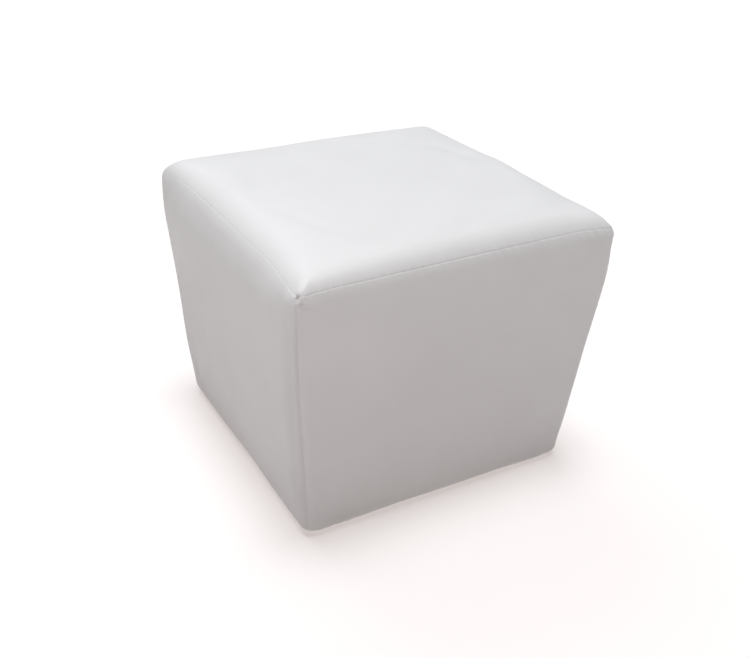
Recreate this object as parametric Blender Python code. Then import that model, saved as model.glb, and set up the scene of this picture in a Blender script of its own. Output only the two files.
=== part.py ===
"""A cube pouf stool: a padded seat top sewn to four padded side panels, with a cloth under it.

Metres, +Z up. The origin is on the floor under the stool's middle, and the front faces -Y.
"""

import math

import bmesh
import bpy
from mathutils import Vector

# The whole stool: it is widest a little below the seam between the seat top and the side panels
WIDTH = 0.500
WIDEST_HEIGHT = 0.386
SEAM_HEIGHT = 0.399
CORNER_HEIGHT = 0.415
CROWN = 0.0062

# The sides lean in towards the floor, upright at first and more and more further down
LEAN = 0.025
LEAN_POWER = 1.2

# The upright corners, between the side panels
CORNER_RADIUS_AT_WIDEST = 0.007
CORNER_RADIUS_AT_FLOOR = 0.018

# The rolled edge, from the widest height over the seam onto the top: how far it reaches in, and how
# much rounder its corners get
ROLL_REACH = 0.0285
ROLL_CORNER_GROWTH = 0.25

# The side panels, with their padding
PANEL_DEPTH = 0.035
FOOT_REACH = 0.015
FOOT_RISE = 0.015
SIDE_BULGE = 0.004

# A sewn edge turns in this deep, over this width of its cover
TUCK_DEPTH = 0.0012
TUCK_WIDTH = 0.0024

# The cloth under the stool
CLOTH_THICKNESS = 0.002
CLOTH_INSET = 0.003
CLOTH_CORNER = 0.010
CLOTH_CORNER_STEPS = 5

GAP = 0.0003

# How the curved faces are divided
ACROSS = 28
UP = 20
BUNCHING = 2.3
SHARP_ANGLE = math.radians(40)

# What follows from those sizes
HALF_WIDTH = WIDTH / 2
PANEL_TOP = SEAM_HEIGHT - GAP / 2
PANEL_BOTTOM = CLOTH_THICKNESS + GAP
SEAT_BOTTOM = SEAM_HEIGHT + GAP / 2
MITRE_SHIFT = GAP / math.sqrt(2)
FOOT_LENGTH = math.pi / 2 * math.sqrt((FOOT_REACH**2 + FOOT_RISE**2) / 2)
PANEL_LENGTH = FOOT_LENGTH + PANEL_TOP - PANEL_BOTTOM - FOOT_RISE
ROLL_RISE = CORNER_HEIGHT + CROWN / 2 - WIDEST_HEIGHT
SEAM_TURN = math.asin((SEAM_HEIGHT - WIDEST_HEIGHT) / ROLL_RISE)
ROLL_LENGTH = (math.pi / 2 - SEAM_TURN) * math.sqrt((ROLL_REACH**2 + ROLL_RISE**2) / 2)

# The panels and the way each one faces, as a turn about Z from the front
PANELS = (
    ("panel_front", 0),
    ("panel_right", 90),
    ("panel_back", 180),
    ("panel_left", 270),
)


def clear_scene():
    for item in list(bpy.data.objects):
        bpy.data.objects.remove(item, do_unlink=True)


def bunch(place):
    """Moves evenly spaced places from -1 to 1 closer together towards both ends."""
    return math.copysign(1 - (1 - abs(place)) ** BUNCHING, place)


def tuck(distance):
    """How far a cover has turned in at this distance from the seam that its edge is sewn to."""
    if distance >= TUCK_WIDTH:
        return 0.0
    return TUCK_DEPTH * (1 - math.sqrt(1 - (1 - distance / TUCK_WIDTH) ** 2))


def rim_length(half, radius):
    """The length of a rounded square's outline from the middle of a side to the middle of a corner."""
    return half - radius + math.pi / 4 * radius


def rim_point(share, half, radius):
    """Where a rounded square's side is, as (along, out), from corner middle -1 to corner middle 1."""
    straight = half - radius
    distance = abs(share) * rim_length(half, radius)
    if distance <= straight or radius <= 0:
        return math.copysign(distance, share), half
    angle = (distance - straight) / radius
    along = straight + radius * math.sin(angle)
    return math.copysign(along, share), straight + radius * math.cos(angle)


def seat_height(x, y):
    """The top of the padding: a low crown, highest in the middle and lowest at the corners."""
    spread = (x / HALF_WIDTH) ** 2 + (y / HALF_WIDTH) ** 2
    return CORNER_HEIGHT + CROWN * (1 - spread / 2)


def seat_face(u, v):
    """The seat top's upper face: rings of a rounded square, from the seam over the roll to the middle."""
    ring = bunch(max(abs(u), abs(v)))
    distance = (1 - ring) * (ROLL_LENGTH + HALF_WIDTH - ROLL_REACH)
    turn = SEAM_TURN + (math.pi / 2 - SEAM_TURN) * min(1, distance / ROLL_LENGTH)
    inset = ROLL_REACH * (1 - math.cos(turn)) + max(0, distance - ROLL_LENGTH) + tuck(distance)
    half = max(0, HALF_WIDTH - inset)
    radius = min(half, CORNER_RADIUS_AT_WIDEST + ROLL_CORNER_GROWTH * inset)
    if ring == 0:
        x = y = 0
    elif abs(v) >= abs(u):
        x, out = rim_point(bunch(u) / ring, half, radius)
        y = math.copysign(out, v)
    else:
        y, out = rim_point(bunch(v) / ring, half, radius)
        x = math.copysign(out, u)
    risen = (math.sin(turn) - math.sin(SEAM_TURN)) / (1 - math.sin(SEAM_TURN))
    return Vector((x, y, SEAT_BOTTOM + (seat_height(x, y) - SEAT_BOTTOM) * risen))


def side_half(height):
    """Half the stool's width at this height, before its padding swells and its edges roll in."""
    return HALF_WIDTH - LEAN * max(0, 1 - height / WIDEST_HEIGHT) ** LEAN_POWER


def side_radius(height):
    """The radius of the stool's upright corners at this height."""
    growth = CORNER_RADIUS_AT_WIDEST - CORNER_RADIUS_AT_FLOOR
    return CORNER_RADIUS_AT_FLOOR + growth * min(1, height / WIDEST_HEIGHT)


def panel_place(v):
    """(height, inset of its rolled edges, distance below the top seam) for v from -1, the foot, to 1."""
    distance = (1 + bunch(v)) / 2 * PANEL_LENGTH
    turn = math.pi / 2 * min(1, distance / FOOT_LENGTH)
    height = PANEL_BOTTOM + FOOT_RISE * (1 - math.cos(turn)) + max(0, distance - FOOT_LENGTH)
    rolled = max(0, height - WIDEST_HEIGHT) / ROLL_RISE
    inset = FOOT_REACH * (1 - math.sin(turn)) + ROLL_REACH * (1 - math.sqrt(1 - rolled**2))
    return height, inset, PANEL_LENGTH - distance


def panel_face(u, v):
    """The front panel's outer face: it bulges, and rolls in at the top seam and under at the foot."""
    height, inset, drop = panel_place(v)
    share = bunch(u)
    half = side_half(height) - inset
    radius = side_radius(height)
    swell = SIDE_BULGE * math.sin(math.pi * height / SEAM_HEIGHT)
    to_corner = (1 - abs(share)) * rim_length(half, radius)
    proud = swell * (1 - share**2) - tuck(drop) - tuck(to_corner)
    along, out = rim_point(share, half + proud, radius + proud)
    return Vector((along - MITRE_SHIFT * share, -out, height))


def panel_back(u, v):
    """The front panel's flat inner face, behind the padding."""
    height = panel_place(v)[0]
    share = bunch(u)
    half = side_half(height) - PANEL_DEPTH
    return Vector(((half - MITRE_SHIFT) * share, -half, height))


def padded_mesh(name, surface, columns, rows, face, back=None):
    """One closed body: a grid bent to face(u, v), walls back to back(u, v) if given, and a flat cap."""
    shape = bmesh.new()
    bmesh.ops.create_grid(shape, x_segments=columns, y_segments=rows, size=1)
    front = list(shape.verts)
    rim = [edge for edge in shape.edges if edge.is_boundary]
    if back:
        walls = bmesh.ops.extrude_edge_only(shape, edges=rim)["geom"]
        rim = [item for item in walls if isinstance(item, bmesh.types.BMEdge) and item.is_boundary]
        for vert in [item for item in walls if isinstance(item, bmesh.types.BMVert)]:
            vert.co = back(vert.co.x, vert.co.y)
    for vert in front:
        vert.co = face(vert.co.x, vert.co.y)
    bmesh.ops.edgeloop_fill(shape, edges=rim)
    return finished_mesh(name, surface, shape)


def finished_mesh(name, surface, shape):
    """Turns the shape into a smooth-shaded mesh with this material."""
    bmesh.ops.recalc_face_normals(shape, faces=shape.faces[:])
    mesh = bpy.data.meshes.new(name)
    shape.to_mesh(mesh)
    shape.free()
    mesh.materials.append(surface)
    mesh.shade_smooth()
    mesh.set_sharp_from_angle(angle=SHARP_ANGLE)
    return mesh


def material(name, colour, roughness):
    made = bpy.data.materials.new(name)
    made.use_nodes = True
    shader = made.node_tree.nodes["Principled BSDF"]
    shader.inputs["Base Color"].default_value = (*colour, 1)
    shader.inputs["Roughness"].default_value = roughness
    shader.inputs["Metallic"].default_value = 0
    return made


def place(name, mesh, turn=0):
    """Adds a sub-part that shows this mesh, turned about Z by so many degrees."""
    item = bpy.data.objects.new(name, mesh)
    item.rotation_euler.z = math.radians(turn)
    bpy.context.scene.collection.objects.link(item)


def bottom_cloth_mesh(surface):
    """A flat cloth with rounded corners, stretched under the turned-in edges of the panels."""
    half = side_half(0) - FOOT_REACH - CLOTH_INSET
    shape = bmesh.new()
    bmesh.ops.create_grid(shape, x_segments=1, y_segments=1, size=half)
    bmesh.ops.bevel(
        shape,
        geom=shape.verts[:],
        offset=CLOTH_CORNER,
        segments=CLOTH_CORNER_STEPS,
        profile=0.5,
        affect="VERTICES",
    )
    raised = bmesh.ops.extrude_face_region(shape, geom=shape.faces[:])["geom"]
    corners = [item for item in raised if isinstance(item, bmesh.types.BMVert)]
    bmesh.ops.translate(shape, verts=corners, vec=(0, 0, CLOTH_THICKNESS))
    return finished_mesh("bottom_cloth", surface, shape)


def build():
    clear_scene()
    leatherette = material("white_leatherette", (0.78, 0.77, 0.77), 0.45)
    cloth = material("bottom_cloth", (0.60, 0.59, 0.58), 0.9)
    place("seat_top", padded_mesh("seat_top", leatherette, ACROSS, ACROSS, seat_face))
    panel = padded_mesh("side_panel", leatherette, ACROSS, UP, panel_face, panel_back)
    for name, turn in PANELS:
        place(name, panel, turn)
    place("bottom_cloth", bottom_cloth_mesh(cloth))


build()
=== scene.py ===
"""The looks of a cube pouf stool: leatherette covers and their seams, a bottom cloth, light and a camera.

Metres, +Z up. The origin is on the floor under the stool's middle, and the front faces -Y.
"""

import math
import random

import bpy
import numpy as np
from mathutils import Matrix, Vector


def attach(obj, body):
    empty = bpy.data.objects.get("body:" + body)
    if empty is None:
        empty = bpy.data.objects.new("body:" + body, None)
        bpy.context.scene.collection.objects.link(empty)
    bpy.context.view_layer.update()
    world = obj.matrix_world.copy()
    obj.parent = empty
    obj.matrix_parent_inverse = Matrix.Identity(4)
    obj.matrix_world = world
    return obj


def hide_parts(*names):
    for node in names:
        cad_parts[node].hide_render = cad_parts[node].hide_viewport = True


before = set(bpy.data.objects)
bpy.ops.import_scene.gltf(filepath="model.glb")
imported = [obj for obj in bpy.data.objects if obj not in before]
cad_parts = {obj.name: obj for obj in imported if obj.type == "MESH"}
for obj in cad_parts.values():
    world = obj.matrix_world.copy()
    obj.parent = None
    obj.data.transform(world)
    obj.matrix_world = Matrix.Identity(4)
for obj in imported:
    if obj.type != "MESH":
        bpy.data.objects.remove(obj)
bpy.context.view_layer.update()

# The stool, with the sizes of its solids
WIDTH = 0.500
WIDEST_HEIGHT = 0.386
SEAM_HEIGHT = 0.399
CORNER_HEIGHT = 0.415
CROWN = 0.0062
LEAN = 0.025
LEAN_POWER = 1.2
CORNER_RADIUS_AT_WIDEST = 0.007
CORNER_RADIUS_AT_FLOOR = 0.018
ROLL_REACH = 0.0285
ROLL_CORNER_GROWTH = 0.25
ROLL_CORNER_FADE = 0.090
PANEL_DEPTH = 0.035
FOOT_REACH = 0.015
FOOT_RISE = 0.015
SIDE_BULGE = 0.004
CLOTH_THICKNESS = 0.002
GAP = 0.0001

HALF_WIDTH = WIDTH / 2
PANEL_TOP = SEAM_HEIGHT - GAP / 2
PANEL_BOTTOM = CLOTH_THICKNESS + GAP
SEAT_BOTTOM = SEAM_HEIGHT + GAP / 2
MITRE_SHIFT = GAP / math.sqrt(2)
FOOT_LENGTH = math.pi / 2 * math.sqrt((FOOT_REACH**2 + FOOT_RISE**2) / 2)
PANEL_LENGTH = FOOT_LENGTH + PANEL_TOP - PANEL_BOTTOM - FOOT_RISE
ROLL_RISE = CORNER_HEIGHT + CROWN / 2 - WIDEST_HEIGHT
SEAM_TURN = math.asin((SEAM_HEIGHT - WIDEST_HEIGHT) / ROLL_RISE)
ROLL_LENGTH = (math.pi / 2 - SEAM_TURN) * math.sqrt((ROLL_REACH**2 + ROLL_RISE**2) / 2)
SEAT_LENGTH = ROLL_LENGTH + HALF_WIDTH - ROLL_REACH

# How finely the covers are drawn, and how much closer their lines are near the seams
SEAT_CELLS = 230
PANEL_COLUMNS = 220
PANEL_ROWS = 170
END_CROWDING = 0.80
END_ZONE = 0.05
SHARP_ANGLE = math.radians(50)

# A sewn edge turns in this deep, over this width of its cover. The top seam has this share of it on each
# side, counterclockwise from the front
TOP_TUCK = (0.0005, 0.0018)
SIDE_TUCK = (0.0003, 0.0014)
TUCK_SHARES = (0.8, 0.7, 0.8, 0.25)

# Gathers beside a seam: how high, how far apart, how far they reach, and how much more at a corner
GATHER_HEIGHT = 0.00022
GATHER_SPACING = 0.011
GATHER_REACH = 0.007
GATHER_CORNER = 3.0
CORNER_REACH = 0.030
# How far they slant: along the top seam and along the upright ones
GATHER_SLANT, UPRIGHT_GATHER_SLANT = 0.4, 0.5

# The foot's folds, where the cover is pulled under: how high, how far apart, how far they reach from a
# corner, how much of them there is between the corners, and how much and how high they run up the panel
FOOT_FOLD = 0.0007
FOOT_FOLD_SPACING = 0.024
FOOT_FOLD_REACH = 0.050
FOOT_FOLD_BETWEEN = 0.35
FOOT_FOLD_ABOVE, FOOT_FOLD_RISE = 0.3, 0.02

# The padding is uneven: towards -X and -Y the rolled edge starts lower and reaches further in. Each ease is
# how far the cover moves in at EASE_TOP, and it starts this far below that height
EASE_TOP = 0.418
EASE_LEFT, EASE_LEFT_RISE = 0.025, 0.066
EASE_FRONT, EASE_FRONT_RISE = 0.0095, 0.083
# It grows between these distances from the middle, and along the front by this share towards +X
EASE_REACH = (0.08, 0.22)
EASE_FRONT_GROWTH = 0.8
# It fades towards three corners: the share that goes, from where, and to where
EASE_LEFT_FADE_BACK = (0.75, 0.13, 0.25)
EASE_LEFT_FADE_FRONT = (0.8, 0.15, 0.25)
EASE_FRONT_FADE_RIGHT = (0.8, 0.18, 0.25)

# Wear: how soiled the covers are at a seam, at a sewn corner and at the foot, and how far that reaches; then
# painted shade that darkens the panels towards the floor, and the height it reaches
SEAM_SOIL, SEAM_SOIL_REACH = 0.05, 0.0010
CORNER_SOIL, CORNER_SOIL_RADIUS = 1.0, 0.0026
FOOT_SOIL, FOOT_SOIL_REACH = 0.05, 0.010
LOW_SHADE, LOW_SHADE_HEIGHT = 0.28, 0.33
# Painted shade on the left panel, in a strip beside the front corner and towards its far end: how much, over
# which distance from that upright seam it fades, and over which drop below the top seam it sets in
STRIP_SHADE, STRIP_WIDTH, STRIP_DROP = 0.18, (0.020, 0.048), (0.03, 0.08)
STRIP_FOOT = (0.0, 0.08)
END_SHADE, END_WIDTH, END_DROP = 0.14, (0.0, 0.30), (0.06, 0.20)

# Soft lumps and dips in the padding: the middle of each, its radius, and how far it moves the cover
LUMPS = (
    ((-0.24, 0.24, 0.10), 0.060, (-0.0022, 0.0012, 0.0)),
    ((-0.23, -0.02, 0.00), 0.070, (0.0020, 0.0, 0.0)),
    ((-0.08, 0.25, 0.42), 0.080, (0.0, 0.0, -0.0020)),
    ((0.25, 0.01, 0.42), 0.045, (0.0012, 0.0, 0.0024)),
    ((0.25, -0.15, 0.42), 0.040, (-0.0008, 0.0, -0.0016)),
    ((0.25, -0.25, 0.42), 0.030, (-0.0018, 0.0010, -0.0024)),
    ((0.25, -0.25, 0.34), 0.060, (0.0026, -0.0015, 0.0)),
    ((-0.25, 0.25, 0.42), 0.030, (0.0026, -0.0015, 0.0)),
    ((-0.25, 0.25, 0.34), 0.065, (-0.0022, 0.0013, 0.0)),
    ((0.17, -0.23, 0.00), 0.035, (0.0, -0.0024, 0.0)),
    ((0.23, -0.22, 0.03), 0.025, (-0.0020, 0.0, 0.0)),
    ((-0.07, -0.23, 0.00), 0.050, (0.0, 0.0014, 0.0)),
    ((-0.15, -0.25, 0.34), 0.060, (0.0, -0.0034, 0.0)),
    ((-0.25, -0.19, 0.36), 0.050, (-0.0036, 0.0, 0.0)),
    ((0.25, -0.25, 0.27), 0.050, (0.0012, -0.0007, 0.0)),
    ((-0.25, -0.25, 0.41), 0.035, (0.0, 0.0, -0.0030)),
)

# How far the upright seams wander, how far apart their waves are, how many there are, and between which
# heights they fade at the top and the foot
UPRIGHT_WANDER = 0.0016
UPRIGHT_SPACING, UPRIGHT_WAVES = 0.19, 3
UPRIGHT_TOP, UPRIGHT_FOOT = (0.33, 0.38), (0.0, 0.03)

# How the covers give when they are pushed out from inside: the cloth's grid, its frames, the pressure, its
# growth, the most that it may move, and how far from a seam it is free
GIVE_CELL = 0.005
GIVE_FRAMES = 20
GIVE_PRESSURE = 0.3
GIVE_GROWTH = 0.001
GIVE_MOST = 0.0022
GIVE_EDGE = 0.045

# The side panels and the way each one faces, as a turn about Z from the front
PANELS = (
    ("panel_front", 0),
    ("panel_right", 90),
    ("panel_back", 180),
    ("panel_left", 270),
)

# The seat top's edges in the same order: whether the edge crosses Y, and on which side
SEAT_EDGES = ((True, -1), (False, 1), (True, 1), (False, -1))

# The four upright corners, counterclockwise from the one between panel_left and panel_front: on which sides
# of X and Y each is, and how strongly it is pinched
CORNERS = ((-1, -1), (1, -1), (1, 1), (-1, 1))
PINCH = (1.0, 0.7, 0.8, 0.6)

# A sewn corner's pit, and a smaller one on the panel: how far aside and down, and its share of the depth,
# width and soil
PIT_DEPTH, PIT_RADIUS = 0.0012, 0.0030
SECOND_PIT = (0.0065, 0.0085)
SECOND_DEPTH, SECOND_WIDTH, SECOND_SOIL = 0.5, 0.8, 0.6

# The hollow under the corner: how deep and wide, and between which drops it starts and ends
HOLLOW_DEPTH, HOLLOW_WIDTH = 0.0026, 0.009
HOLLOW_START, HOLLOW_END = (0.006, 0.026), (0.03, 0.085)

# The bulge on its other side: how high, how wide, and how far aside and down
BULGE_HEIGHT, BULGE_RADIUS = 0.0016, 0.012
BULGE_PLACE = (0.016, 0.012)

# The fold that runs off to the side: how deep and wide, its drop at the corner, how steeply it falls,
# between which distances it starts and ends, and the share and place of the ridge above it
FOLD_DEPTH, FOLD_WIDTH = 0.0008, 0.0022
FOLD_DROP, FOLD_SLOPE = 0.010, 0.35
FOLD_START, FOLD_END = (0.002, 0.008), (0.014, 0.030)
RIDGE_SHARE, RIDGE_PLACE = 1.2, 1.4

# The colours of the covers, clean in two tones and worn, the worn one also standing for painted shade, and of
# the cloth's threads
CLEAN_TONES = ((0.717, 0.715, 0.715), (0.737, 0.735, 0.736))
WORN_AND_SHADED_TONE = (0.420, 0.405, 0.395)
THREAD_TONES = ((0.50, 0.49, 0.48), (0.66, 0.65, 0.64))

# The floor: half its width, how far it lies under the stool, its colours near and far, the near one darker
# with painted shade around the stool, the light in it, and between which distances they change
FLOOR_HALF = 12.0
FLOOR_DROP = 0.0002
FLOOR_NEAR_SHADED, FLOOR_FAR = (0.50, 0.495, 0.495), (0.56, 0.555, 0.555)
FLOOR_GLOW = (0.452, 0.412, 0.400)
FLOOR_FADE = (0.30, 1.50)

# The sky's soft lights: the way to the middle of each, how narrow it is, and its strength there
SKY = (
    ((0, 0, 1), 60, (27.5, 28.2, 28.4)),
    ((0, 1, 1), 14, (2.83, 2.75, 2.89)),
)

# What shows past the floor's edge
BACKDROP = (1.0, 0.995, 0.99)

# A soft lamp above the camera: its place, size, strength in W and colour, and where it points
FRONT_FILL = ((-0.67, -1.16, 1.1), 0.5, 1.5, (1.0, 0.72, 0.68))
FRONT_FILL_AIM = Vector((0, 0, 0.2))

# The camera, where the photograph was taken from: its place, its turn about Z, how far it looks down, its
# roll, and its lens on a sensor this wide in mm
CAMERA_PLACE = (-0.66818, -1.15825, 0.90790)
CAMERA_TURN, CAMERA_DOWN, CAMERA_ROLL = -0.52753, 0.50219, 0.03284
CAMERA_LENS, CAMERA_SENSOR = 45.658, 36

ROOT = "root"
random.seed(17)


# ---------------------------------------------------------------- shape

def spread(count):
    """Places from -1 to 1, closer together near both ends, where the seams are."""
    even = np.linspace(-1, 1, count + 1)
    depth = 1 - np.abs(even)
    eased = depth - END_CROWDING * END_ZONE * (1 - np.exp(-depth / END_ZONE))
    eased /= 1 - END_CROWDING * END_ZONE * (1 - math.exp(-1 / END_ZONE))
    return np.copysign(1 - eased, even)


def tuck(distance, depth_and_width):
    """How far a cover has turned in at this distance from the seam that its edge is sewn to."""
    depth, width = depth_and_width
    share = np.clip(1 - distance / width, 0, 1)
    return depth * (1 - np.sqrt(1 - share**2))


def rim_length(half, radius):
    """The length of a rounded square's outline from the middle of a side to the middle of a corner."""
    return half - radius + math.pi / 4 * radius


def rim_point(distance, half, radius):
    """A rounded square's side, this far from its middle: along and out, and the way it faces."""
    straight = half - radius
    angle = np.maximum(0, np.abs(distance) - straight) / np.maximum(radius, 1e-9)
    along = np.minimum(np.abs(distance), straight) + radius * np.sin(angle)
    out = straight + radius * np.cos(angle)
    return (
        np.copysign(along, distance),
        out,
        np.copysign(np.sin(angle), distance),
        np.cos(angle),
    )


def seat_height(x, y):
    """The top of the padding: a low crown, highest in the middle and lowest at the corners."""
    spread_out = (x / HALF_WIDTH) ** 2 + (y / HALF_WIDTH) ** 2
    return CORNER_HEIGHT + CROWN * (1 - spread_out / 2)


def seat_sheet(places):
    """The seat top's upper face over a grid of places, with what each point needs for its relief."""
    u, v = np.meshgrid(places, places)
    ring = np.maximum(np.abs(u), np.abs(v))
    distance = (1 - ring) * SEAT_LENGTH
    turn = SEAM_TURN + (math.pi / 2 - SEAM_TURN) * np.minimum(1, distance / ROLL_LENGTH)
    inset = ROLL_REACH * (1 - np.cos(turn)) + np.maximum(0, distance - ROLL_LENGTH)
    half = np.maximum(0, HALF_WIDTH - inset)
    radius = CORNER_RADIUS_AT_WIDEST + ROLL_CORNER_GROWTH * np.minimum(inset, ROLL_REACH)
    radius *= np.clip(1 - (inset - ROLL_REACH) / ROLL_CORNER_FADE, 0, 1)
    safe = np.maximum(ring, 1e-9)
    upright = np.abs(v) >= np.abs(u)
    share = np.where(upright, u, v) / safe
    along, out, lean_along, lean_out = rim_point(share * rim_length(half, radius), half, radius)
    side = np.where(upright, np.sign(v), np.sign(u))
    x = np.where(upright, along, side * out)
    y = np.where(upright, side * out, along)
    risen = (np.sin(turn) - math.sin(SEAM_TURN)) / (1 - math.sin(SEAM_TURN))
    height = SEAT_BOTTOM + (seat_height(x, y) - SEAT_BOTTOM) * risen
    flat, rise = np.cos(turn) / ROLL_REACH, np.sin(turn) / ROLL_RISE
    steep = np.hypot(flat, rise)
    facing_x = np.where(upright, lean_along, side * lean_out) * flat / steep
    facing_y = np.where(upright, side * lean_out, lean_along) * flat / steep
    return {
        "points": np.stack((x, y, height), axis=-1),
        "facing": np.stack((facing_x, facing_y, rise / steep), axis=-1),
        "drop": distance,
        "share": share,
        "to_corner": (1 - np.abs(share)) * rim_length(HALF_WIDTH, CORNER_RADIUS_AT_WIDEST),
        "x": x,
        "y": y,
        "upright": upright,
        "side": side,
    }


def side_half(height):
    """Half the stool's width at this height, before its padding swells and its edges roll in."""
    return HALF_WIDTH - LEAN * np.maximum(0, 1 - height / WIDEST_HEIGHT) ** LEAN_POWER


def side_radius(height):
    """The radius of the stool's upright corners at this height."""
    growth = CORNER_RADIUS_AT_WIDEST - CORNER_RADIUS_AT_FLOOR
    return CORNER_RADIUS_AT_FLOOR + growth * np.minimum(1, height / WIDEST_HEIGHT)


def panel_place(rise):
    """The height, inset of the rolled edges, how much it faces up and drop below the top seam."""
    distance = (1 + rise) / 2 * PANEL_LENGTH
    turn = math.pi / 2 * np.minimum(1, distance / FOOT_LENGTH)
    height = PANEL_BOTTOM + FOOT_RISE * (1 - np.cos(turn)) + np.maximum(0, distance - FOOT_LENGTH)
    rolled = np.maximum(0, height - WIDEST_HEIGHT) / ROLL_RISE
    inset = FOOT_REACH * (1 - np.sin(turn)) + ROLL_REACH * (1 - np.sqrt(1 - rolled**2))
    upward = (rolled / ROLL_RISE) / np.hypot(rolled / ROLL_RISE, np.sqrt(1 - rolled**2) / ROLL_REACH)
    downward = FOOT_REACH * np.cos(turn) / np.hypot(FOOT_REACH * np.cos(turn), FOOT_RISE * np.sin(turn))
    return height, inset, upward - downward, PANEL_LENGTH - distance


def panel_sheet(across, up, wander_left, wander_right):
    """The front panel's outer face over a grid of places, with what each point needs for its relief."""
    share, rise = np.meshgrid(across, up)
    height, inset, upward, drop = panel_place(rise)
    swell = SIDE_BULGE * np.sin(math.pi * height / SEAM_HEIGHT) * (1 - share**2)
    half = side_half(height) - inset + swell
    radius = side_radius(height) + swell
    length = rim_length(half, radius)
    wander = wander_left(height) * (1 - share) / 2 + wander_right(height) * (1 + share) / 2
    along, out, lean_along, lean_out = rim_point(share * length + wander, half, radius)
    outward = np.sqrt(1 - upward**2)
    return {
        "points": np.stack((along - MITRE_SHIFT * share, -out, height), axis=-1),
        "facing": np.stack((lean_along * outward, -lean_out * outward, upward), axis=-1),
        "drop": drop,
        "share": share,
        "to_left": (1 + share) * length,
        "to_right": (1 - share) * length,
        "height": height,
        "under": np.maximum(0, -upward),
    }


def panel_back(across, up):
    """The front panel's flat inner face, behind the padding, at the same places."""
    share, rise = np.meshgrid(across, up)
    height = panel_place(rise)[0]
    half = side_half(height) - PANEL_DEPTH
    return np.stack(((half - MITRE_SHIFT) * share, -half, height), axis=-1)


def smooth_step(value, start, end):
    """From 0 at the start to 1 at the end, level at both."""
    share = np.clip((value - start) / (end - start), 0, 1)
    return share * share * (3 - 2 * share)


def faded(value, share, start, end):
    """What is left of an ease where this share of it goes from the start to the end."""
    return 1 - share * smooth_step(value, start, end)


def eased(height, rise):
    """The share of an ease that a cover has at this height."""
    return np.clip(1 - (EASE_TOP - height) / rise, 0, 1) ** 2


def settled(points):
    """Where the padding's unevenness takes these points of the whole stool."""
    x, y, z = points[..., 0], points[..., 1], points[..., 2]
    moved = points.copy()
    left = smooth_step(-x, *EASE_REACH) * faded(y, *EASE_LEFT_FADE_BACK)
    left *= faded(-y, *EASE_LEFT_FADE_FRONT)
    moved[..., 0] += EASE_LEFT * left * eased(z, EASE_LEFT_RISE)
    front = smooth_step(-y, *EASE_REACH) * faded(x, *EASE_FRONT_FADE_RIGHT)
    front *= 1 + EASE_FRONT_GROWTH * x / HALF_WIDTH
    moved[..., 1] += EASE_FRONT * front * eased(z, EASE_FRONT_RISE)
    for middle, radius, way in LUMPS:
        away = ((points - middle) ** 2).sum(axis=-1, keepdims=True)
        moved += np.exp(-away / radius**2) * way
    return moved


# ---------------------------------------------------------------- relief

def ripple(spacing, count=4):
    """A made-up wavy line between about -1 and 1, with waves about this far apart."""
    waves = [
        (2 * math.pi / (spacing * random.uniform(0.6, 1.9)), random.uniform(0, 2 * math.pi))
        for _ in range(count)
    ]
    return lambda place: sum(np.sin(place * w + p) for w, p in waves) / math.sqrt(2 * count)


def spot(across, down, radius):
    """A soft round spot, 1 in its middle."""
    return np.exp(-(across**2 + down**2) / radius**2)


def seam_wander():
    """How far an upright seam is off its line at each height."""
    wave = ripple(UPRIGHT_SPACING, UPRIGHT_WAVES)

    def wander(height):
        held = (1 - smooth_step(height, *UPRIGHT_TOP)) * smooth_step(height, *UPRIGHT_FOOT)
        return UPRIGHT_WANDER * wave(height) * held

    return wander


def gather_lift(drop, aside):
    """How high the gathers are, this far below a seam and beside a corner."""
    return GATHER_HEIGHT * (1 + GATHER_CORNER * np.exp(-np.hypot(drop, aside) / CORNER_REACH))


def corner_relief(aside, drop, strength):
    """The sewn corner's two pits and the hollow under it."""
    relief = -PIT_DEPTH * spot(aside, drop, PIT_RADIUS)
    second = spot(aside - SECOND_PIT[0], drop - SECOND_PIT[1], PIT_RADIUS * SECOND_WIDTH)
    relief -= PIT_DEPTH * SECOND_DEPTH * second
    falling = smooth_step(drop, *HOLLOW_START) * (1 - smooth_step(drop, *HOLLOW_END))
    relief -= HOLLOW_DEPTH * falling * np.exp(-((aside / HOLLOW_WIDTH) ** 2))
    return strength * relief


def fold_relief(aside, drop, strength):
    """A short fold that runs off to the side, a little below the seam, with a ridge above it."""
    along = smooth_step(aside, *FOLD_START) * (1 - smooth_step(aside, *FOLD_END))
    across = (drop - FOLD_DROP - FOLD_SLOPE * aside) / FOLD_WIDTH
    fold = RIDGE_SHARE * np.exp(-((across + RIDGE_PLACE) ** 2)) - np.exp(-(across**2))
    return strength * FOLD_DEPTH * along * fold


def bulge_relief(aside, drop, strength):
    """A soft bulge beside the sewn corner."""
    return strength * BULGE_HEIGHT * spot(aside - BULGE_PLACE[0], drop - BULGE_PLACE[1], BULGE_RADIUS)


# ---------------------------------------------------------------- the covers' give

def reading(places, count):
    """A matrix that reads count + 1 even values from -1 to 1 at these places, along smooth curves."""
    where = (places + 1) / 2 * count
    first = np.clip(np.floor(where).astype(int), 0, count - 1)
    t = where - first
    weights = (
        (-t + 2 * t**2 - t**3) / 2,
        (2 - 5 * t**2 + 3 * t**3) / 2,
        (t + 4 * t**2 - 3 * t**3) / 2,
        (-(t**2) + t**3) / 2,
    )
    matrix = np.zeros((len(places), count + 1))
    for step, weight in enumerate(weights):
        column = np.clip(first + step - 1, 0, count)
        np.add.at(matrix, (np.arange(len(places)), column), weight)
    return matrix


def grid_faces(rows, columns):
    """The quads of a grid of rows by columns points, row by row."""
    corner = (np.arange(rows - 1)[:, None] * columns + np.arange(columns - 1)).ravel()
    return np.stack((corner, corner + 1, corner + columns + 1, corner + columns), axis=-1)


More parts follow.
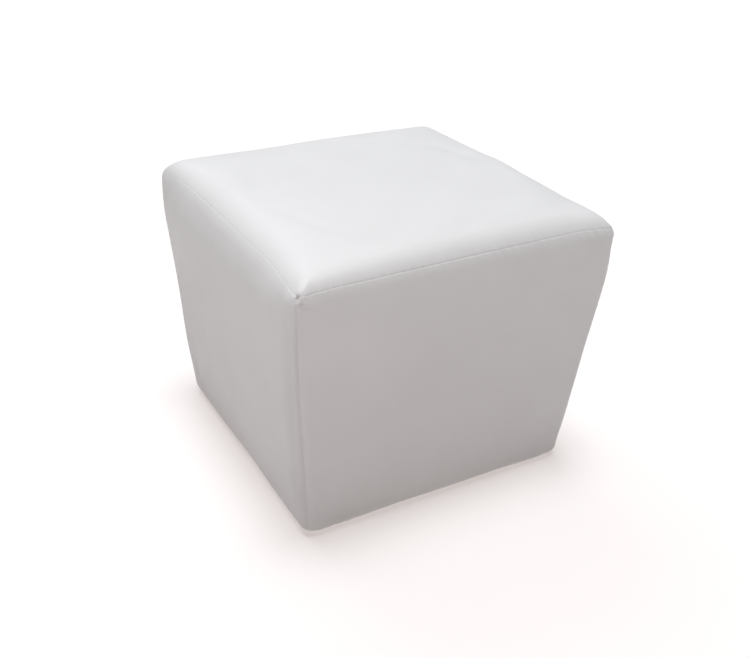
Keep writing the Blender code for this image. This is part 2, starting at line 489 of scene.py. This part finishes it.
def give(points):
    """How far each point of a cover moves when it is pushed out from inside, its sewn edge held."""
    rows, columns = points.shape[:2]
    mesh = bpy.data.meshes.new("give")
    mesh.from_pydata(points.reshape(-1, 3).tolist(), [], grid_faces(rows, columns).tolist())
    cover = bpy.data.objects.new("give", mesh)
    bpy.context.scene.collection.objects.link(cover)
    held = np.zeros((rows, columns), bool)
    held[:2], held[-2:], held[:, :2], held[:, -2:] = True, True, True, True
    pin = cover.vertex_groups.new(name="held")
    pin.add(np.flatnonzero(held.ravel()).tolist(), 1, "REPLACE")
    cloth = cover.modifiers.new("give", "CLOTH")
    settings = cloth.settings
    settings.quality = 5
    settings.mass = 0.5
    settings.tension_stiffness = settings.compression_stiffness = 60
    settings.shear_stiffness = 30
    settings.bending_stiffness = 3
    settings.use_pressure = True
    settings.uniform_pressure_force = GIVE_PRESSURE
    settings.shrink_min = -GIVE_GROWTH
    settings.vertex_group_mass = pin.name
    settings.effector_weights.gravity = 0
    cloth.collision_settings.use_collision = False
    cloth.point_cache.frame_start, cloth.point_cache.frame_end = 1, GIVE_FRAMES
    for step in range(1, GIVE_FRAMES + 1):
        bpy.context.scene.frame_set(step)
    shown = cover.evaluated_get(bpy.context.evaluated_depsgraph_get()).to_mesh()
    moved = np.empty(rows * columns * 3)
    shown.vertices.foreach_get("co", moved)
    offset = moved.reshape(points.shape) - points
    bpy.data.objects.remove(cover)
    bpy.data.meshes.remove(mesh)
    bpy.context.scene.frame_set(1)
    for _ in range(2):
        offset[1:-1] = (offset[:-2] + 2 * offset[1:-1] + offset[2:]) / 4
        offset[:, 1:-1] = (offset[:, :-2] + 2 * offset[:, 1:-1] + offset[:, 2:]) / 4
    down = np.minimum(np.arange(rows), np.arange(rows)[::-1])
    along = np.minimum(np.arange(columns), np.arange(columns)[::-1])
    to_seam = np.minimum(down[:, None], along) * GIVE_CELL
    offset *= smooth_step(to_seam, 0, GIVE_EDGE)[..., None]
    size = np.linalg.norm(offset, axis=-1, keepdims=True)
    print(f"give: most {size.max() * 1000:.2f} mm, mean {size.mean() * 1000:.2f} mm")
    return offset * min(1, GIVE_MOST / size.max())


def given(offset, across, up):
    """The give of a coarse even grid, read at the places of a finer one."""
    down = reading(up, offset.shape[0] - 1)
    along = reading(across, offset.shape[1] - 1)
    return np.tensordot(np.tensordot(down, offset, 1), along, (1, 1)).swapaxes(1, 2)


# ---------------------------------------------------------------- pieces

def closed_body(name, sheet, back, dirt_and_shade, turn):
    """A closed mesh: the sheet, walls back to its inner rim if it has one, and a flat cap."""
    rows, columns = sheet.shape[:2]
    index = np.arange(rows * columns).reshape(rows, columns)
    rim = np.concatenate((index[0, :-1], index[:-1, -1], index[-1, :0:-1], index[:0:-1, 0]))
    points = sheet.reshape(-1, 3)
    faces = grid_faces(rows, columns).tolist()
    loop = rim
    if back is not None:
        inner = back.reshape(-1, 3)[rim]
        loop = np.arange(len(points), len(points) + len(rim))
        points = np.concatenate((points, inner))
        outer_next, inner_next = np.roll(rim, -1), np.roll(loop, -1)
        faces += np.stack((outer_next, rim, loop, inner_next), axis=-1).tolist()
    faces.append(loop[::-1].tolist())
    cos, sin = math.cos(math.radians(turn)), math.sin(math.radians(turn))
    turned = points @ np.array(((cos, sin, 0), (-sin, cos, 0), (0, 0, 1)))
    mesh = bpy.data.meshes.new(name)
    mesh.from_pydata(settled(turned).tolist(), [], faces)
    # Dirt at seams, corners and foot, and the painted shade on the panels, for each point
    worn_and_shaded = mesh.attributes.new("dirt_and_shade", "FLOAT", "POINT")
    values = np.zeros(len(points))
    values[: dirt_and_shade.size] = dirt_and_shade.ravel()
    worn_and_shaded.data.foreach_set("value", values)
    mesh.shade_smooth()
    mesh.set_sharp_from_angle(angle=SHARP_ANGLE)
    mesh.validate()
    piece = bpy.data.objects.new(name, mesh)
    bpy.context.scene.collection.objects.link(piece)
    return piece


def cover_piece(piece, node, surface):
    """Puts the surface on a cover, and the cover in its solid's place."""
    piece.data.materials.append(surface)
    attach(piece, ROOT)
    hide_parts(node)


def leatherette():
    """Smooth white coated cloth: a fine pebble grain, an uneven sheen, a little dirt at seams and foot, and
    painted shade on the panels towards the floor and on the left one.
    """
    made = bpy.data.materials.new("white_leatherette")
    made.use_nodes = True
    tree = made.node_tree
    new, link = tree.nodes.new, tree.links.new
    shader = tree.nodes["Principled BSDF"]
    place = new("ShaderNodeTexCoord").outputs["Object"]

    def noise(scale, detail, roughness=0.5):
        node = new("ShaderNodeTexNoise")
        node.inputs["Scale"].default_value = scale
        node.inputs["Detail"].default_value = detail
        node.inputs["Roughness"].default_value = roughness
        link(place, node.inputs["Vector"])
        return node.outputs["Fac"]

    def ranged(value, low, high, start=0.3, end=0.7):
        node = new("ShaderNodeMapRange")
        node.inputs["From Min"].default_value = start
        node.inputs["From Max"].default_value = end
        node.inputs["To Min"].default_value = low
        node.inputs["To Max"].default_value = high
        link(value, node.inputs["Value"])
        return node.outputs["Result"]

    def mixed(share, first, second):
        node = new("ShaderNodeMix")
        node.data_type = "RGBA"
        link(share, node.inputs["Factor"])
        for socket, value in ((node.inputs["A"], first), (node.inputs["B"], second)):
            if isinstance(value, tuple):
                socket.default_value = (*value, 1)
            else:
                link(value, socket)
        return node.outputs["Result"]

    tone = mixed(ranged(noise(9, 3), 0, 1), *CLEAN_TONES)
    # The covers' dirt and the shade painted on the panels darken the colour towards the worn tone
    worn_and_shaded = new("ShaderNodeAttribute")
    worn_and_shaded.attribute_name = "dirt_and_shade"
    blotched = new("ShaderNodeMath")
    blotched.operation = "MULTIPLY"
    link(worn_and_shaded.outputs["Fac"], blotched.inputs[0])
    link(ranged(noise(55, 4), 0.85, 1), blotched.inputs[1])
    link(mixed(blotched.outputs[0], tone, WORN_AND_SHADED_TONE), shader.inputs["Base Color"])
    link(ranged(noise(16, 4), 0.43, 0.53), shader.inputs["Roughness"])

    pebbles = new("ShaderNodeTexVoronoi")
    pebbles.feature = "SMOOTH_F1"
    pebbles.inputs["Scale"].default_value = 850
    pebbles.inputs["Smoothness"].default_value = 0.6
    link(place, pebbles.inputs["Vector"])
    grain = new("ShaderNodeBump")
    grain.inputs["Strength"].default_value = 0.22
    grain.inputs["Distance"].default_value = 0.00012
    grain.invert = True
    link(pebbles.outputs["Distance"], grain.inputs["Height"])
    creases = new("ShaderNodeBump")
    creases.inputs["Strength"].default_value = 0.25
    creases.inputs["Distance"].default_value = 0.0006
    link(noise(48, 5, 0.55), creases.inputs["Height"])
    link(grain.outputs["Normal"], creases.inputs["Normal"])
    link(creases.outputs["Normal"], shader.inputs["Normal"])
    return made


def woven_cloth():
    """Plain woven cloth: threads both ways, with uneven tone."""
    made = bpy.data.materials.new("bottom_cloth_woven")
    made.use_nodes = True
    tree = made.node_tree
    new, link = tree.nodes.new, tree.links.new
    shader = tree.nodes["Principled BSDF"]
    place = new("ShaderNodeTexCoord").outputs["Object"]
    threads = []
    for direction in ("X", "Y"):
        wave = new("ShaderNodeTexWave")
        wave.bands_direction = direction
        wave.inputs["Scale"].default_value = 140
        wave.inputs["Distortion"].default_value = 0.6
        wave.inputs["Detail Scale"].default_value = 20
        link(place, wave.inputs["Vector"])
        threads.append(wave.outputs["Fac"])
    weave = new("ShaderNodeMath")
    weave.operation = "MULTIPLY"
    link(threads[0], weave.inputs[0])
    link(threads[1], weave.inputs[1])
    cloudy = new("ShaderNodeTexNoise")
    cloudy.inputs["Scale"].default_value = 30
    link(place, cloudy.inputs["Vector"])
    shade = new("ShaderNodeMath")
    shade.operation = "MULTIPLY_ADD"
    shade.inputs[1].default_value = 0.6
    link(weave.outputs[0], shade.inputs[0])
    link(cloudy.outputs["Fac"], shade.inputs[2])
    tone = new("ShaderNodeMix")
    tone.data_type = "RGBA"
    tone.inputs["A"].default_value = (*THREAD_TONES[0], 1)
    tone.inputs["B"].default_value = (*THREAD_TONES[1], 1)
    link(shade.outputs[0], tone.inputs["Factor"])
    link(tone.outputs["Result"], shader.inputs["Base Color"])
    bump = new("ShaderNodeBump")
    bump.inputs["Strength"].default_value = 0.5
    bump.inputs["Distance"].default_value = 0.0003
    link(weave.outputs[0], bump.inputs["Height"])
    link(bump.outputs["Normal"], shader.inputs["Normal"])
    shader.inputs["Roughness"].default_value = 0.9
    return made


def build_seat_top(surface, gathers):
    """The top cover: gathers and a tuck along its four sewn edges, and a pit at each corner."""
    cells = round(2 * SEAT_LENGTH / GIVE_CELL / 2) * 2
    offset = give(seat_sheet(np.linspace(-1, 1, cells + 1))["points"])
    places = spread(SEAT_CELLS)
    sheet = seat_sheet(places)
    points = sheet["points"] + given(offset, places, places)
    drop, to_corner = sheet["drop"], sheet["to_corner"]
    relief = np.zeros(drop.shape)
    dirt_and_shade = SEAM_SOIL * np.exp(-drop / SEAM_SOIL_REACH)
    lift = gather_lift(drop, to_corner)
    for index, (upright, side) in enumerate(SEAT_EDGES):
        here = (sheet["upright"] == upright) & (sheet["side"] == side)
        along = sheet["share"] * HALF_WIDTH * (-side if upright else side)
        wave = gathers[index](along + GATHER_SLANT * drop)
        relief += here * lift * wave * np.exp(-drop / GATHER_REACH)
        relief -= here * TUCK_SHARES[index] * tuck(drop, TOP_TUCK)
    for strength, (sign_x, sign_y) in zip(PINCH, CORNERS):
        here = (np.sign(sheet["x"]) == sign_x) & (np.sign(sheet["y"]) == sign_y)
        relief -= here * strength * PIT_DEPTH * spot(to_corner, drop, PIT_RADIUS)
        dirt_and_shade += here * strength * CORNER_SOIL * spot(to_corner, drop, CORNER_SOIL_RADIUS)
    seat = closed_body("seat_top_cover", points + sheet["facing"] * relief[..., None], None, dirt_and_shade, 0)
    cover_piece(seat, "seat_top", surface)


def panel_relief(index, sheet, gathers, foot):
    """What stands out from a panel or sinks in: tucks, gathers, pinched corners and the foot's folds."""
    drop, height = sheet["drop"], sheet["height"]
    to_left, to_right = sheet["to_left"], sheet["to_right"]
    to_side = np.minimum(to_left, to_right)
    left_pinch, right_pinch = PINCH[index], PINCH[(index + 1) % 4]
    along = sheet["share"] * HALF_WIDTH
    lift = gather_lift(drop, to_side)
    relief = -np.maximum(TUCK_SHARES[index] * tuck(drop, TOP_TUCK), tuck(to_side, SIDE_TUCK))
    relief += lift * gathers[index](along - GATHER_SLANT * drop) * np.exp(-drop / GATHER_REACH)
    beside = gathers[4 + index](height + UPRIGHT_GATHER_SLANT * to_side)
    relief += lift * beside * np.exp(-to_side / GATHER_REACH)
    relief += corner_relief(to_left, drop, left_pinch)
    relief += corner_relief(to_right, drop, right_pinch)
    relief += fold_relief(to_left, drop, left_pinch)
    relief += bulge_relief(to_right, drop, right_pinch)
    under = sheet["under"] ** 2 + FOOT_FOLD_ABOVE * np.exp(-height / FOOT_FOLD_RISE)
    relief += FOOT_FOLD * foot(along) * (FOOT_FOLD_BETWEEN + np.exp(-to_side / FOOT_FOLD_REACH)) * under
    return relief - tuck(PANEL_LENGTH - drop, SIDE_TUCK)


def panel_dirt_and_shade(index, sheet):
    """How worn a panel is and how much shade is painted on it, from 0 to 1."""
    drop, height = sheet["drop"], sheet["height"]
    to_left, to_right = sheet["to_left"], sheet["to_right"]
    to_seam = np.minimum(drop, np.minimum(to_left, to_right))
    dirt_and_shade = SEAM_SOIL * np.exp(-to_seam / SEAM_SOIL_REACH) + FOOT_SOIL * np.exp(-height / FOOT_SOIL_REACH)
    # Painted shade: the panel darkens towards the floor
    dirt_and_shade += LOW_SHADE * np.clip(1 - height / LOW_SHADE_HEIGHT, 0, 1)
    dirt_and_shade += PINCH[index] * CORNER_SOIL * spot(to_left, drop, CORNER_SOIL_RADIUS)
    second = spot(to_left - SECOND_PIT[0], drop - SECOND_PIT[1], CORNER_SOIL_RADIUS)
    dirt_and_shade += SECOND_SOIL * PINCH[index] * CORNER_SOIL * second
    dirt_and_shade += PINCH[(index + 1) % 4] * CORNER_SOIL * spot(to_right, drop, CORNER_SOIL_RADIUS)
    # Painted shade on the left panel: a strip beside the front corner, and its far end
    if PANELS[index][0] == "panel_left":
        strip = (1 - smooth_step(to_right, *STRIP_WIDTH)) * smooth_step(drop, *STRIP_DROP)
        dirt_and_shade += STRIP_SHADE * strip * smooth_step(height, *STRIP_FOOT)
        dirt_and_shade += END_SHADE * (1 - smooth_step(to_left, *END_WIDTH)) * smooth_step(drop, *END_DROP)
    return np.clip(dirt_and_shade, 0, 1)


def build_panel(index, surface, wanders, gathers, foot):
    """One side panel, with its padding."""
    node, turn = PANELS[index]
    left, right = wanders[index], wanders[(index + 1) % 4]
    columns, rows = round(WIDTH / GIVE_CELL), round(PANEL_LENGTH / GIVE_CELL)
    coarse = panel_sheet(np.linspace(-1, 1, columns + 1), np.linspace(-1, 1, rows + 1), left, right)
    offset = give(coarse["points"])
    across, up = spread(PANEL_COLUMNS), spread(PANEL_ROWS)
    sheet = panel_sheet(across, up, left, right)
    points = sheet["points"] + given(offset, across, up)
    points += sheet["facing"] * panel_relief(index, sheet, gathers, foot)[..., None]
    panel = closed_body(f"{node}_cover", points, panel_back(across, up), panel_dirt_and_shade(index, sheet), turn)
    cover_piece(panel, node, surface)


def build_covers():
    """The seat top and the four side panels."""
    surface = leatherette()
    wanders = [seam_wander() for _ in CORNERS]
    gathers = [ripple(GATHER_SPACING) for _ in range(8)]
    feet = [ripple(FOOT_FOLD_SPACING) for _ in PANELS]
    build_seat_top(surface, gathers)
    for index in range(len(PANELS)):
        build_panel(index, surface, wanders, gathers, feet[index])


def build_bottom_cloth():
    """The flat cloth under the stool, which keeps its solid and gets its weave."""
    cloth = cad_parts["bottom_cloth"]
    surface = woven_cloth()
    for slot in cloth.material_slots:
        slot.material = surface


# ---------------------------------------------------------------- light and camera

def pale_floor():
    """A plain pale floor with some light in it, darker around the stool with painted shade than further off.
    """
    made = bpy.data.materials.new("pale_floor")
    made.use_nodes = True
    tree = made.node_tree
    new, link = tree.nodes.new, tree.links.new
    reach = new("ShaderNodeVectorMath")
    reach.operation = "LENGTH"
    link(new("ShaderNodeTexCoord").outputs["Object"], reach.inputs[0])
    fade = new("ShaderNodeMapRange")
    fade.interpolation_type = "SMOOTHSTEP"
    fade.inputs["From Min"].default_value, fade.inputs["From Max"].default_value = FLOOR_FADE
    link(reach.outputs["Value"], fade.inputs["Value"])
    # Painted shade: the floor's colour is darker near the stool
    tone = new("ShaderNodeMix")
    tone.data_type = "RGBA"
    tone.inputs["A"].default_value = (*FLOOR_NEAR_SHADED, 1)
    tone.inputs["B"].default_value = (*FLOOR_FAR, 1)
    link(fade.outputs["Result"], tone.inputs["Factor"])
    shader = tree.nodes["Principled BSDF"]
    link(tone.outputs["Result"], shader.inputs["Base Color"])
    shader.inputs["Roughness"].default_value = 0.9
    shader.inputs["Emission Color"].default_value = (*FLOOR_GLOW, 1)
    shader.inputs["Emission Strength"].default_value = 1
    return made


def build_floor():
    half = FLOOR_HALF
    mesh = bpy.data.meshes.new("floor")
    corners = [(-half, -half, 0), (half, -half, 0), (half, half, 0), (-half, half, 0)]
    mesh.from_pydata(corners, [], [(0, 1, 2, 3)])
    mesh.materials.append(pale_floor())
    floor = bpy.data.objects.new("floor", mesh)
    floor.location.z = -FLOOR_DROP
    bpy.context.scene.collection.objects.link(floor)


def build_lamp():
    """The soft lamp above the camera."""
    place, size, strength, colour = FRONT_FILL
    light = bpy.data.lights.new("front_fill", "AREA")
    light.shape = "DISK"
    light.size = size
    light.energy = strength
    light.color = colour
    lamp = bpy.data.objects.new("front_fill", light)
    lamp.location = place
    lamp.rotation_euler = (Vector(place) - FRONT_FILL_AIM).to_track_quat("Z", "Y").to_euler()
    bpy.context.scene.collection.objects.link(lamp)


def build_sky():
    """The sky's soft lights, with a pale studio in place of them where the camera sees past the floor."""
    world = bpy.data.worlds.new("studio")
    world.use_nodes = True
    tree = world.node_tree
    tree.nodes.clear()
    new, link = tree.nodes.new, tree.links.new

    def calculated(operation, value, constant):
        node = new("ShaderNodeMath")
        node.operation = operation
        node.inputs[1].default_value = constant
        link(value, node.inputs[0])
        return node.outputs[0]

    looking = new("ShaderNodeTexCoord").outputs["Generated"]
    total = None
    for way, focus, strength in SKY:
        towards = new("ShaderNodeVectorMath")
        towards.operation = "DOT_PRODUCT"
        towards.inputs[1].default_value = Vector(way).normalized()
        link(looking, towards.inputs[0])
        above = calculated("MAXIMUM", towards.outputs["Value"], 0)
        glow = new("ShaderNodeBackground")
        strongest = max(strength)
        glow.inputs["Color"].default_value = (*(value / strongest for value in strength), 1)
        link(calculated("MULTIPLY", calculated("POWER", above, focus), strongest), glow.inputs["Strength"])
        if total is None:
            total = glow.outputs[0]
        else:
            both = new("ShaderNodeAddShader")
            link(total, both.inputs[0])
            link(glow.outputs[0], both.inputs[1])
            total = both.outputs[0]
    backdrop = new("ShaderNodeBackground")
    backdrop.inputs["Color"].default_value = (*BACKDROP, 1)
    shown = new("ShaderNodeMixShader")
    link(new("ShaderNodeLightPath").outputs["Is Camera Ray"], shown.inputs[0])
    link(total, shown.inputs[1])
    link(backdrop.outputs[0], shown.inputs[2])
    link(shown.outputs[0], new("ShaderNodeOutputWorld").inputs["Surface"])
    bpy.context.scene.world = world


def build_camera():
    lens = bpy.data.cameras.new("camera")
    lens.sensor_width = CAMERA_SENSOR
    lens.lens = CAMERA_LENS
    camera = bpy.data.objects.new("camera", lens)
    camera.matrix_world = (
        Matrix.Translation(CAMERA_PLACE)
        @ Matrix.Rotation(CAMERA_TURN, 4, "Z")
        @ Matrix.Rotation(math.pi / 2 - CAMERA_DOWN, 4, "X")
        @ Matrix.Rotation(CAMERA_ROLL, 4, "Z")
    )
    bpy.context.scene.collection.objects.link(camera)
    bpy.context.scene.camera = camera


build_covers()
build_bottom_cloth()
build_floor()
build_lamp()
build_sky()
build_camera()
bpy.context.scene.view_settings.view_transform = "Standard"
